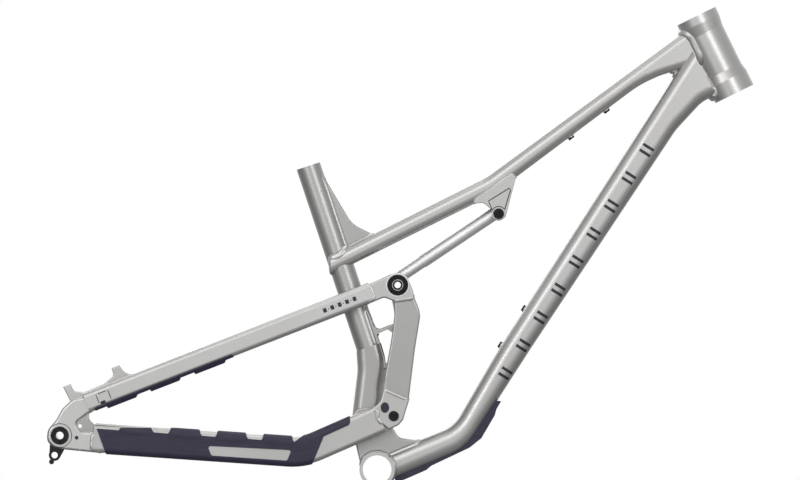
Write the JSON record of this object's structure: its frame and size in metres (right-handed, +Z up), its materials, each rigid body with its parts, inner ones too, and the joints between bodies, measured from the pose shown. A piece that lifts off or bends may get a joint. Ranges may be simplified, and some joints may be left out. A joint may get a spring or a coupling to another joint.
{
  "type": "bicycle frame",
  "caption": "Full-suspension bicycle frame: welded front triangle and a swingarm carried on short links, with a telescoping strut in the shock's place.",
  "frame": {"origin": "centre of the bottom-bracket shell's bore, in the bicycle's middle plane", "axes": "+X forward, +Z up as the bicycle stands, +Y to the bicycle's left (non-drive side)"},
  "size_m": [1.002, 0.1767, 0.6821],
  "materials": {
    "frame_paint": "silver paint, satin",
    "raw_alloy": "bare, turned",
    "black_alloy": "black anodised",
    "black_steel": "black oxide",
    "bearing_steel": "ground",
    "guard_rubber": "moulded, matt",
    "plug_plastic": "moulded",
    "bush_plastic": "turned"
  },
  "bodies": {
    "front_triangle": {"accessory_bolts": "black_steel", "accessory_bosses": "raw_alloy", "bottle_bolts": "black_steel", "bottle_bosses": "raw_alloy", "bottom_bracket_shell": "frame_paint", "down_tube": "frame_paint", "down_tube_guard": "guard_rubber", "head_gusset": "frame_paint", "head_tube": "frame_paint", "lower_forging": "frame_paint", "lower_link_axle": "raw_alloy", "rocker_axle": "raw_alloy", "rocker_bracket": "frame_paint", "seat_tube": "frame_paint", "seat_tube_gusset": "frame_paint", "shock_bolt": "black_alloy", "shock_bracket": "frame_paint", "shock_nut": "black_steel", "top_tube": "frame_paint"},
    "swingarm": {"seat_stay_right": "frame_paint", "seat_stay_left": "frame_paint", "chain_stay_right": "frame_paint", "chain_stay_left": "frame_paint", "upright_right": "frame_paint", "upright_left": "frame_paint", "upper_pivot_forging_right": "frame_paint", "upper_pivot_forging_left": "frame_paint", "lower_pivot_forging_right": "frame_paint", "lower_pivot_forging_left": "frame_paint", "dropout_right": "frame_paint", "dropout_left": "frame_paint", "seat_stay_bridge": "frame_paint", "chain_stay_bridge": "frame_paint", "brake_mount": "frame_paint", "derailleur_hanger": "black_alloy", "hanger_bolt": "black_alloy", "axle_insert": "raw_alloy", "chain_stay_guard": "guard_rubber", "seat_stay_guard": "guard_rubber", "cable_plug": "plug_plastic", "upper_pivot_axle": "raw_alloy", "upper_pivot_caps": "black_alloy", "lower_pivot_axle": "raw_alloy", "lower_pivot_bolts": "black_alloy"},
    "lower_link": {"lower_link": "frame_paint", "lower_link_bearings": "bearing_steel"},
    "upper_link": {"upper_link": "frame_paint", "upper_link_bearings": "bearing_steel"},
    "strut_tube": {"strut_tube": "raw_alloy", "strut_tube_bush": "bush_plastic"},
    "strut_rod": {"strut_rod": "raw_alloy", "strut_rod_bush": "bush_plastic"}
  },
  "joints": [
    {"name": "swingarm_travel", "type": "hinge", "parent": "lower_link", "child": "swingarm", "pos_m": [0.0236, 0, 0.0763], "axis": [0, 1, 0], "range_deg": [0, 29.5]},
    {"name": "lower_link_turn", "type": "hinge", "parent": "front_triangle", "child": "lower_link", "pos_m": [0.004, 0, 0.06], "axis": [0, 1, 0], "range_deg": [-17, 0]},
    {"name": "upper_link_turn", "type": "hinge", "parent": "front_triangle", "child": "upper_link", "pos_m": [0.0439, 0, 0.1697], "axis": [0, 1, 0], "range_deg": [0, 21.8]},
    {"name": "strut_swing", "type": "hinge", "parent": "front_triangle", "child": "strut_tube", "pos_m": [0.1725, 0, 0.3631], "axis": [0, 1, 0], "range_deg": [-7.4, 0]},
    {"name": "strut_stroke", "type": "slide", "parent": "strut_tube", "child": "strut_rod", "axis": [0.8313, 0, 0.5558], "range_m": [0, 0.0278]}
  ],
  "couplings": [
    {"joint": "lower_link_turn", "follows": "swingarm_travel", "ratio": -0.57049},
    {"joint": "upper_link_turn", "follows": "swingarm_travel", "ratio": 0.73516},
    {"joint": "strut_swing", "follows": "swingarm_travel", "ratio": -0.24875},
    {"joint": "strut_stroke", "follows": "swingarm_travel", "m_per_rad": 0.053801}
  ]
}
